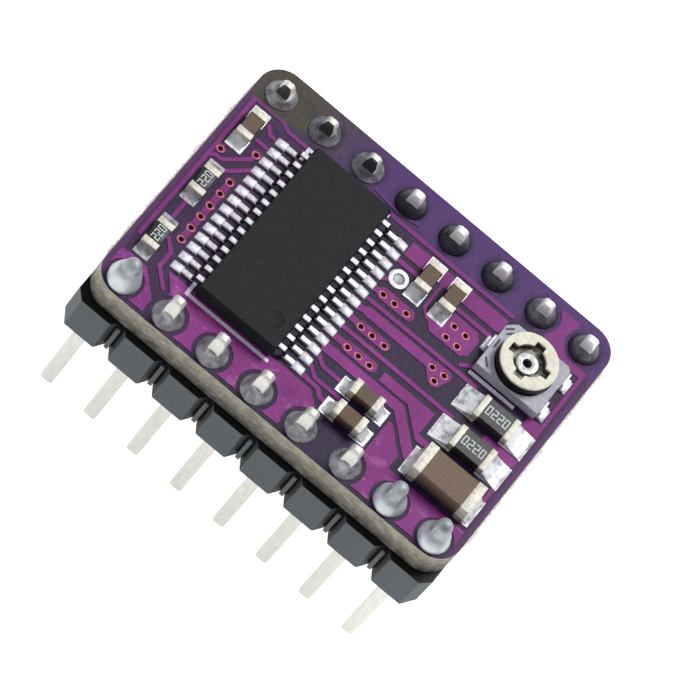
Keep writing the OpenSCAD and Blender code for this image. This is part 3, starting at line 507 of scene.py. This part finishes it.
soldered_row("rear", "solder_dull", dull_solder, "dull_joints_rear",
             {place: low_joint if place < 3 else dark_dome for place in range(1, pin_count)})
soldered_row("rear", "solder", grey_solder, "grey_joint_rear", {0: (0.42, 0.6)})

# ---- Driver chip ----
# Black epoxy moulded in two halves around 28 bent leads, matt and very finely grained, with a
# round pin-1 dimple. Inside are the silicon die and the heat paddle that it sits on.
epoxy = Finish("epoxy", Metallic=0.0, Specular_IOR_Level=0.2)
grit = epoxy.speckle(14.0, 5, 0.75)
swirl = epoxy.node("TexVoronoi", {"feature": "DISTANCE_TO_EDGE"}, Vector=epoxy.place, Scale=5.0)
scratch = (1 - epoxy.step(swirl, 0.0, 0.035)) * epoxy.step(epoxy.speckle(2.0, 2), 0.45, 0.7)
black = epoxy.ramp(grit, (0.3, paint(22, 25, 27)), (0.7, paint(37, 41, 44)))
epoxy.shade(Base_Color=epoxy.mix(scratch * 0.5, black, paint(70, 76, 76)),
            Roughness=grit * 0.2 + 0.5)
epoxy.relief(grit, 0.012)
softened("chip_body", "chip_moulding", epoxy, "chip_moulding", 0.06)

silicon = Finish("silicon", Metallic=0.4)
dice = silicon.speckle(4.0)
silicon.shade(Base_Color=silicon.ramp(dice, (0.4, paint(90, 92, 104)), (0.6, paint(128, 130, 142))),
              Roughness=dice * 0.2 + 0.15)
dress(silicon, "chip_die")

lead_tin = Finish("lead_tin", Metallic=0.35)
plated = lead_tin.speckle(5.0, 4)
bright_tin = lead_tin.ramp(plated, (0.3, paint(196, 196, 206)), (0.6, paint(228, 228, 236)))
lead_tin.shade(Base_Color=bright_tin, Roughness=plated * 0.2 + 0.38)
lead_tin.relief(plated, 0.02)
dress(lead_tin, "chip_paddle")

leg_tin = Finish("leg_tin", Metallic=0.35)
plated = leg_tin.speckle(5.0, 4)
leg_low, leg_high = (corner.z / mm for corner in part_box("chip_leads_left"))
z = leg_tin.axis("Z")
foot_t, shoulder_t = 0.16, 0.04
# The sloping part of each leg is painted near black: painted shade on the tin.
sloping = (z > leg_low + foot_t) * (z < leg_high - shoulder_t)
flat_tin = leg_tin.ramp(plated, (0.3, paint(200, 200, 208)), (0.6, paint(232, 232, 238)))
leg_tin.shade(Base_Color=leg_tin.mix(sloping, flat_tin, paint(30, 29, 33)),
              Roughness=plated * 0.2 + 0.38)
leg_tin.relief(plated, 0.02)
softened("chip_leads_left", "chip_legs_left", leg_tin, "lead_metal", 0.03)
softened("chip_leads_right", "chip_legs_right", leg_tin, "lead_metal", 0.03)

pad_tin = Finish("pad_tin", Metallic=0.3)
plated = pad_tin.speckle(5.0, 4)
row_low, row_high = (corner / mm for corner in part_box("chip_solder"))
outer_part = 0.6
# The solder beside the inner part of each foot is painted dark violet: painted shadow of the legs.
from_middle = abs(pad_tin.axis("X") - (row_low.x + row_high.x) / 2)
shaded_inner = from_middle < (row_high.x - row_low.x) / 2 - outer_part
open_tin = pad_tin.ramp(plated, (0.3, paint(190, 190, 200)), (0.6, paint(230, 230, 238)))
pad_tin.shade(Base_Color=pad_tin.mix(shaded_inner, open_tin, paint(58, 46, 66)),
              Roughness=plated * 0.2 + 0.4)
pad_tin.relief(plated, 0.02)
softened("chip_solder", "chip_leg_solder", pad_tin, "solder", 0.015, 1)


# ---- Capacitors ----
# Fired brown ceramic blocks with cream, matt tinned ends; the large one holds the motor supply.
# Reflowed solder climbs each end and draws in at the waist, with bright corners on the pad.
def lumps(name):
    """The low and high corners of each separate solid of a node, in order of place."""
    made = shape_of(name)
    left, found = set(made.verts), []
    while left:
        group, waiting = set(), [left.pop()]
        while waiting:
            v = waiting.pop()
            group.add(v)
            near = {e.other_vert(v) for e in v.link_edges} & left
            left -= near
            waiting += near
        found.append([Vector([pick(v.co[axis] for v in group) for axis in range(3)])
                      for pick in (min, max)])
    made.free()
    return sorted(found, key=lambda corners: tuple(corners[0]))


def fillets(ends, solder, name, finish, share, waist, dome):
    """Solder fillets at both ends of every chip part of a group.

    share is how far up the end the solder climbs, waist how much it draws in, and dome goes
    from 0, hollow, to 1, a full dome.
    """
    over_end, film_t = 0.22, 0.03 * mm
    made = bmesh.new()
    parts = lumps(ends)
    for low, high in lumps(solder):
        middle = (low + high) / 2
        end = min(parts, key=lambda box: ((box[0] + box[1]) / 2 - middle).xy.length)
        offset = middle - (end[0] + end[1]) / 2
        along = 0 if abs(offset.x) > abs(offset.y) else 1
        side = 1 if offset[along] > 0 else -1
        across = 1 - along
        inner, outer = (low[along], high[along]) if side > 0 else (high[along], low[along])
        face = end[1][along] if side > 0 else end[0][along]
        climb = (end[1].z - end[0].z) * share
        part_half = (end[1][across] - end[0][across]) / 2
        pad_half = (high[across] - low[across]) / 2
        pad = bmesh.ops.create_cube(made, size=1)["verts"]
        bmesh.ops.scale(made, vec=(high - low) * Vector((1, 1, 0)) + Vector((0, 0, film_t)),
                        verts=pad)
        bmesh.ops.translate(made, vec=(middle.x, middle.y, low.z + film_t / 2), verts=pad)
        sheet = bmesh.ops.create_grid(made, x_segments=14, y_segments=10, size=1)["verts"]
        for v in sheet:
            s, t = (v.co.x + 1) / 2, v.co.y
            u = max(0.0, (s - over_end) / (1 - over_end))
            hollow = (1 - u) ** 2.2
            full = math.sqrt(max(0.0, 1 - u ** 2.6))
            rise = climb * (hollow * (1 - dome) + full * dome)
            rise *= 1 - 0.25 * t * t * (0.4 + dome)
            half = part_half * (1 - u) + pad_half * u - waist * mm * math.sin(math.pi * u)
            place = Vector((0, 0, 0))
            if u == 0:
                place[along] = inner + (face - inner) * s / over_end
            else:
                place[along] = face + (outer - face) * u
            place[across] = middle[across] + t * half
            place.z = end[0].z if s < over_end - 0.02 else end[0].z - film_t + rise
            place.z += noise.noise(place / (0.35 * mm)) * film_t * u
            v.co = place
        top = list(dict.fromkeys(f for v in sheet for f in v.link_faces))
        grown = bmesh.ops.extrude_face_region(made, geom=top)["geom"]
        for v in grown:
            if isinstance(v, bmesh.types.BMVert):
                v.co.z = low.z
    return piece(made, name, finish, "board", "solder", solder)


brown_ceramic = Finish("brown_ceramic", Metallic=0.0, Specular_IOR_Level=0.3)
fired = brown_ceramic.speckle(10.0, 5, 0.7)
# The blocks are painted near black towards the board: painted shade.
shade_near_board = 1 - brown_ceramic.step(brown_ceramic.axis("Z"), pad_z / mm, pad_z / mm + 1.05)
brown = brown_ceramic.ramp(fired, (0.3, paint(104, 85, 72)), (0.7, paint(132, 112, 97)))
brown_ceramic.shade(Base_Color=brown_ceramic.mix(shade_near_board * 0.9, brown, paint(22, 14, 12)),
                    Roughness=fired * 0.25 + 0.5)
brown_ceramic.relief(fired, 0.012)
matt_tin = Finish("matt_tin", Metallic=0.25)
dipped = matt_tin.speckle(5.0, 4, 0.65)
# The ends are painted darker towards the board: painted shade.
shade_near_board = 1 - matt_tin.step(matt_tin.axis("Z"), pad_z / mm + 0.05, pad_z / mm + 0.5)
cream_tin = matt_tin.ramp(dipped, (0.3, paint(176, 172, 158)), (0.6, paint(224, 220, 208)))
matt_tin.shade(Base_Color=matt_tin.mix(shade_near_board * 0.6, cream_tin, paint(70, 58, 50)),
               Roughness=dipped * 0.3 + 0.36)
matt_tin.relief(dipped, 0.03)
softened("cap_bodies", "small_cap_blocks", brown_ceramic, "capacitor_ceramic", 0.04)
softened("cap_ends", "small_cap_ends", matt_tin, "end_metal", 0.025)
fillets("cap_ends", "cap_solder", "small_cap_fillets", bright_solder, 0.55, 0.1, 0.0)
softened("bulk_cap_body", "large_cap_block", brown_ceramic, "capacitor_ceramic", 0.06)
softened("bulk_cap_ends", "large_cap_ends", matt_tin, "end_metal", 0.028)
fillets("bulk_cap_ends", "bulk_cap_solder", "large_cap_fillets", bright_solder, 0.4, 0.1, 0.1)

# ---- Small resistors ----
# Ceramic chips with a black glass coat over the resistive film, white printed digits and
# cream tinned ends. Their white ceramic is painted dark grey, painted shade on their sides.
# Their solder is grey and hollow.
# The chip ceramic is painted dark grey: painted shade on the sides of white alumina.
shaded_alumina = Finish("shaded_alumina", Metallic=0.0, Specular_IOR_Level=0.35)
fired = shaded_alumina.speckle(9.0, 4)
shaded_alumina.shade(Base_Color=shaded_alumina.ramp(fired, (0.3, paint(42, 40, 40)),
                                                (0.7, paint(64, 60, 57))),
                   Roughness=fired * 0.3 + 0.4)
shaded_alumina.relief(fired, 0.015)
glass_coat = Finish("glass_coat", Metallic=0.0, Specular_IOR_Level=0.4)
milky = glass_coat.speckle(6.0, 4, 0.65)
glass_coat.shade(Base_Color=glass_coat.ramp(milky, (0.3, paint(26, 28, 28)),
                                            (0.7, paint(44, 45, 44))),
                 Roughness=milky * 0.25 + 0.3)
glass_coat.relief(milky, 0.01)
digit_ink = Finish("digit_ink", Metallic=0.0, Roughness=0.55)
worn = digit_ink.speckle(12.0, 4)
digit_ink.shade(Base_Color=digit_ink.ramp(worn, (0.3, paint(150, 156, 158)),
                                          (0.6, paint(206, 212, 212))))
film = Finish("resistive_film", Metallic=0.0)
soot = film.speckle(8.0, 4)
film.shade(Base_Color=film.ramp(soot, (0.3, paint(12, 12, 12)), (0.7, paint(30, 28, 27))),
           Roughness=soot * 0.3 + 0.35)
film.relief(soot, 0.01)
softened("resistor_bodies", "small_resistor_chips", shaded_alumina, "resistor_ceramic", 0.03)
softened("resistor_coats", "small_resistor_coats", glass_coat, "resistor_coat", 0.012)
softened("resistor_ends", "small_resistor_ends", matt_tin, "end_metal", 0.02)
fillets("resistor_ends", "resistor_solder", "small_resistor_fillets", grey_solder, 0.6, 0.1, 0.1)
dress(film, "resistor_films", "sense_films", "trimmer_track")
dress(digit_ink, "resistor_marks", "sense_marks")

# ---- Sense resistors ----
# Two larger resistors of the same build carry the motor current. They sit side by side between
# swollen pillows of bright solder.
softened("sense_bodies", "sense_resistor_chips", shaded_alumina, "resistor_ceramic", 0.03)
softened("sense_coats", "sense_resistor_coats", glass_coat, "resistor_coat", 0.012)
softened("sense_ends", "sense_resistor_ends", matt_tin, "end_metal", 0.02)
fillets("sense_ends", "sense_solder", "sense_pillows", bright_solder, 0.72, 0.0, 0.3)

# ---- Test ring ----
# A tinned ring beside the middle capacitors, for a meter's probe. Its bore is filled with
# solder that has sunk a little.
ring_tin = Finish("ring_tin", Metallic=0.35)
ring_low, ring_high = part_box("test_ring")
ring_middle = (ring_low + ring_high) / 2 / mm
plated = ring_tin.speckle(6.0, 4)
from_middle = ring_tin.from_axis(ring_middle)
bowl_r = 0.28
bowl = ring_tin.mix(ring_tin.step(from_middle, bowl_r - 0.08, bowl_r - 0.01),
                    paint(150, 152, 154), paint(84, 84, 88))
rim_tin = ring_tin.ramp(plated, (0.3, paint(206, 206, 210)), (0.6, paint(236, 236, 240)))
ring_tin.shade(Base_Color=ring_tin.mix(from_middle > bowl_r, bowl, rim_tin),
               Roughness=plated * 0.2 + 0.36)
ring_tin.relief(plated, 0.02)
softened("test_ring", "probe_ring", ring_tin, "solder", 0.03)

# ---- Trimmer base ----
# A pressed ceramic block, blue-grey, with a round well, plain printed bars for the direction of
# turning, and three plated terminals folded down its ends onto the board.
grey_ceramic = Finish("grey_ceramic", Metallic=0.0, Specular_IOR_Level=0.4)
fired = grey_ceramic.speckle(6.0, 5, 0.65)
grey_ceramic.shade(Base_Color=grey_ceramic.ramp(fired, (0.3, paint(152, 152, 166)),
                                                (0.65, paint(188, 188, 200))),
                   Roughness=fired * 0.25 + 0.4)
grey_ceramic.relief(fired, 0.015)
softened("trimmer_base", "trimmer_block", grey_ceramic, "trimmer_ceramic", 0.04)
softened("trimmer_terminals", "trimmer_legs", lead_tin, "lead_metal", 0.03)
softened("trimmer_solder", "trimmer_leg_solder", bright_solder, "solder", 0.015, 1)
bar_ink = Finish("bar_ink", Metallic=0.0, Roughness=0.5)
worn = bar_ink.speckle(12.0, 4)
bar_ink.shade(Base_Color=bar_ink.ramp(worn, (0.3, paint(10, 16, 16)), (0.7, paint(28, 34, 34))))
dress(bar_ink, "trimmer_marks")

# ---- Trimmer disc ----
# The turning disc has a cream cap with a through cross slot; below the cap its outer side is
# near black and its slot walls brown. It is held by a hollow rivet, and its metal wiper runs on
# the resistive track in the well.
disc = Finish("disc_cap", Metallic=0.0, Specular_IOR_Level=0.35)
disc_low, disc_high = (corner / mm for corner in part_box("trimmer_rotor"))
disc_middle = (disc_low + disc_high) / 2
out = disc.from_axis(disc_middle)
flow = disc.speckle(5.0, 4, 0.6)
cream = disc.ramp(flow, (0.3, paint(214, 208, 188)), (0.6, paint(238, 234, 218)))
floor_t, cap_t, side_t = 0.14, 0.12, 0.06
slot_floor = disc.ramp(flow, (0.4, paint(96, 88, 80)), (0.6, paint(188, 184, 176)))
walls = disc.ramp(flow, (0.3, paint(44, 32, 26)), (0.7, paint(86, 70, 58)))
walls = disc.mix(disc.axis("Z") < disc_low.z + floor_t, walls, slot_floor)
under = disc.mix(out > disc_high.x - disc_middle.x - side_t, walls, paint(14, 12, 12))
cap_edge = disc.axis("Z") > disc_high.z - cap_t
disc.shade(Base_Color=disc.mix(cap_edge, under, cream), Roughness=flow * 0.25 + 0.42)
disc.relief(flow, 0.02)
softened("trimmer_rotor", "trimmer_disc", disc, "rotor_plastic", 0.035, body="rotor")

plated_steel = Finish("plated_steel", Metallic=0.5)
turned = plated_steel.speckle(6.0, 4)
out = plated_steel.from_axis(disc_middle)
# The near black in the middle and the thin dark rings are painted shade in the rivet's bore and its
# turned grooves.
grooves = plated_steel.ramp(out, (0.0, paint(20, 20, 20)), (0.205, paint(20, 20, 20)),
                            (0.225, paint(176, 176, 174)), (0.3, paint(196, 196, 194)),
                            (0.33, paint(84, 82, 80)), (0.36, paint(190, 190, 188)),
                            (0.5, paint(206, 206, 203)), (0.56, paint(120, 118, 116)))
plated_steel.shade(Base_Color=plated_steel.mix(turned * 0.4, grooves, paint(150, 148, 146)),
                   Roughness=turned * 0.25 + 0.3)
plated_steel.relief(turned, 0.015)
softened("trimmer_wiper", "trimmer_contact", plated_steel, "rivet_metal", 0.02, body="rotor")
softened("trimmer_rivet", "trimmer_eyelet", plated_steel, "rivet_metal", 0.03)

# ---- Stand, light and camera ----
# A plain pale table, a large soft light high behind the board and a weaker one in front. The
# camera looks down on the parts' side from the front, with the board turned in its view.
floor = bpy.data.objects.new("table", bpy.data.meshes.new("table"))
plain = bmesh.new()
table_half = 3
bmesh.ops.create_grid(plain, x_segments=1, y_segments=1, size=table_half)
plain.to_mesh(floor.data)
plain.free()
white = Finish("table_white", Metallic=0.0, Roughness=0.9, Specular_IOR_Level=0.1)
white.shade(Base_Color=paint(250, 250, 250), Emission_Color=paint(255, 255, 255),
            Emission_Strength=0.85)
floor.data.materials.append(white.material)
floor.location.z = -0.02 * mm
bpy.context.scene.collection.objects.link(floor)

world = bpy.data.worlds.new("studio")
world.use_nodes = True
world.node_tree.nodes["Background"].inputs["Color"].default_value = (1, 1, 1, 1)
world.node_tree.nodes["Background"].inputs["Strength"].default_value = 0.3
bpy.context.scene.world = world


def soft_light(name, place, size, power):
    lamp = bpy.data.lights.new(name, "AREA")
    lamp.shape, lamp.size, lamp.energy = "DISK", size, power
    stand = bpy.data.objects.new(name, lamp)
    stand.location = place
    stand.rotation_euler = (-Vector(place)).to_track_quat("-Z", "Y").to_euler()
    bpy.context.scene.collection.objects.link(stand)


soft_light("key", (0.10, 0.22, 0.36), 0.20, 1.35)
soft_light("fill", (-0.30, -0.25, 0.30), 0.40, 0.45)

seat = Vector((-2.18, -157.62, 261.26)) * mm
look = Vector((0.01004, 0.52869, -0.84876))
across = Vector((0.76645, 0.54108, 0.34611))
up = across.cross(look)
camera = bpy.data.objects.new("camera", bpy.data.cameras.new("camera"))
camera.data.lens, camera.data.sensor_width = 341.87, 36
camera.data.clip_start, camera.data.clip_end = 0.01, 20
camera.matrix_world = Matrix.Translation(seat) @ Matrix((across, up, -look)).transposed().to_4x4()
bpy.context.scene.collection.objects.link(camera)
bpy.context.scene.camera = camera
bpy.context.scene.view_settings.view_transform = "Standard"
